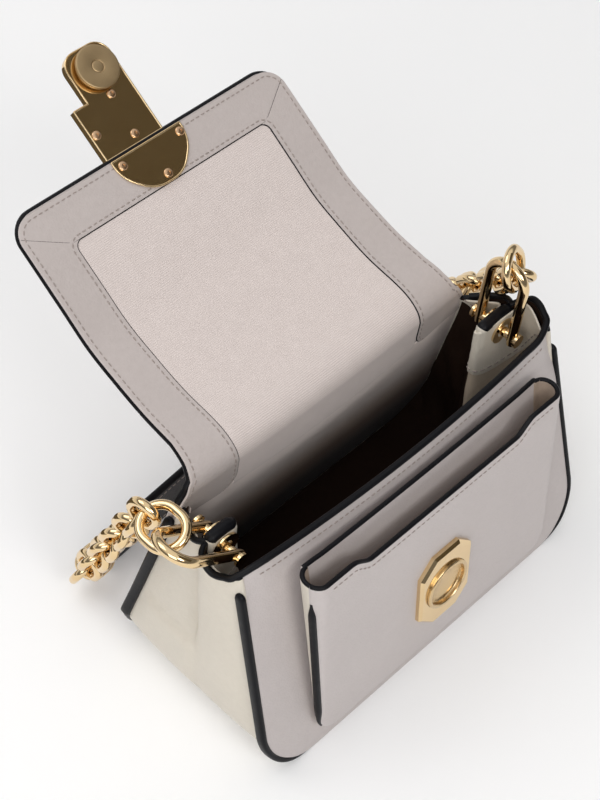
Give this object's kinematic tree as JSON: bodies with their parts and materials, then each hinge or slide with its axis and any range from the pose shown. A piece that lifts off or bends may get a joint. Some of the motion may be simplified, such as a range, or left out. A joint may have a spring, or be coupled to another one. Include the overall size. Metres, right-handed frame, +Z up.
{
  "type": "chain shoulder bag",
  "caption": "Leather shoulder bag with open top flap, snap tab, front pocket with round clasp cup, gusset folds, shackles and a chain strap.",
  "frame": {"origin": "middle of the base, on the surface that the bag stands on", "axes": "+X across the bag to the right seen from the front, -Y to the front with the pocket, +Z up"},
  "size_m": [0.2431, 0.2298, 0.1899],
  "materials": {
    "panel_leather": "fine-grained matt",
    "gusset_leather": "fine-grained matt, paler",
    "facing_leather": "fine-grained matt with stitching",
    "woven_lining": "ribbed weave",
    "inner_lining": "dark plain weave",
    "edge_paint": "black painted edge",
    "board": "covered stiffener",
    "polished_metal": "polished pale gold",
    "matt_metal": "matt gold",
    "magnet": "plated magnet",
    "washer": "plain",
    "strap_leather": "fine-grained matt with black painted edges"
  },
  "bodies": {
    "bag": {"front_panel": "panel_leather", "back_panel": "panel_leather", "base_panel": "gusset_leather", "left_gusset": "gusset_leather", "right_gusset": "gusset_leather", "left_gusset_fold": "gusset_leather", "right_gusset_fold": "gusset_leather", "left_fold_edge": "edge_paint", "right_fold_edge": "edge_paint", "front_lining": "inner_lining", "back_lining": "inner_lining", "base_board": "board", "front_left_seam": "edge_paint", "front_right_seam": "edge_paint", "back_left_seam": "edge_paint", "back_right_seam": "edge_paint", "mouth_edge": "edge_paint", "hinge_fold": "panel_leather", "pocket_back": "panel_leather", "pocket_front": "panel_leather", "pocket_left_side": "panel_leather", "pocket_right_side": "panel_leather", "pocket_back_rim": "edge_paint", "pocket_front_rim": "edge_paint", "pocket_left_seam": "edge_paint", "pocket_right_seam": "edge_paint", "clasp_plate": "polished_metal", "clasp_cup": "polished_metal", "clasp_magnet": "magnet", "clasp_washer": "washer", "left_eyelet": "polished_metal", "right_eyelet": "polished_metal"},
    "flap_top": {"flap_leather": "panel_leather", "flap_left_facing": "facing_leather", "flap_right_facing": "facing_leather", "flap_lining": "woven_lining"},
    "flap_front": {"fall_leather": "panel_leather", "fall_left_facing": "facing_leather", "fall_right_facing": "facing_leather", "fall_end_facing": "facing_leather", "fall_lining": "woven_lining", "tab_front_plate": "polished_metal", "tab_back_plate": "polished_metal", "clamp_plate": "polished_metal", "tab_screws": "polished_metal", "clamp_screws": "polished_metal", "snap_disc": "matt_metal", "snap_magnet": "magnet"},
    "left_shackle": {"left_shackle": "polished_metal", "left_pin": "polished_metal"},
    "right_shackle": {"right_shackle": "polished_metal", "right_pin": "polished_metal"},
    "strap": {"strap_leather": "strap_leather", "left_chain": "polished_metal", "right_chain": "polished_metal", "left_end_link": "polished_metal", "right_end_link": "polished_metal", "left_ring": "polished_metal", "right_ring": "polished_metal"}
  },
  "joints": [
    {"name": "flap_hinge", "type": "hinge", "parent": "bag", "child": "flap_top", "pos_m": [0, 0.02376, 0.112], "axis": [1, 0, 0], "range_deg": [-8, 137.68]},
    {"name": "flap_fold", "type": "hinge", "parent": "flap_top", "child": "flap_front", "pos_m": [0, 0.08895, 0.13419], "axis": [1, 0, 0], "range_deg": [-12, 93.32]},
    {"name": "left_shackle_swing", "type": "hinge", "parent": "bag", "child": "left_shackle", "pos_m": [-0.082, 0.0055, 0.101], "axis": [0, 1, 0], "range_deg": [-2.5, 1.2]},
    {"name": "right_shackle_swing", "type": "hinge", "parent": "bag", "child": "right_shackle", "pos_m": [0.082, 0.0055, 0.101], "axis": [0, 1, 0], "range_deg": [-1, 1.2]},
    {"name": "strap_swing", "type": "hinge", "parent": "bag", "child": "strap", "pos_m": [-0.11116, 0.0055, 0.12378], "axis": [0.9973, 0, 0.0734], "range_deg": [0, 12]}
  ]
}
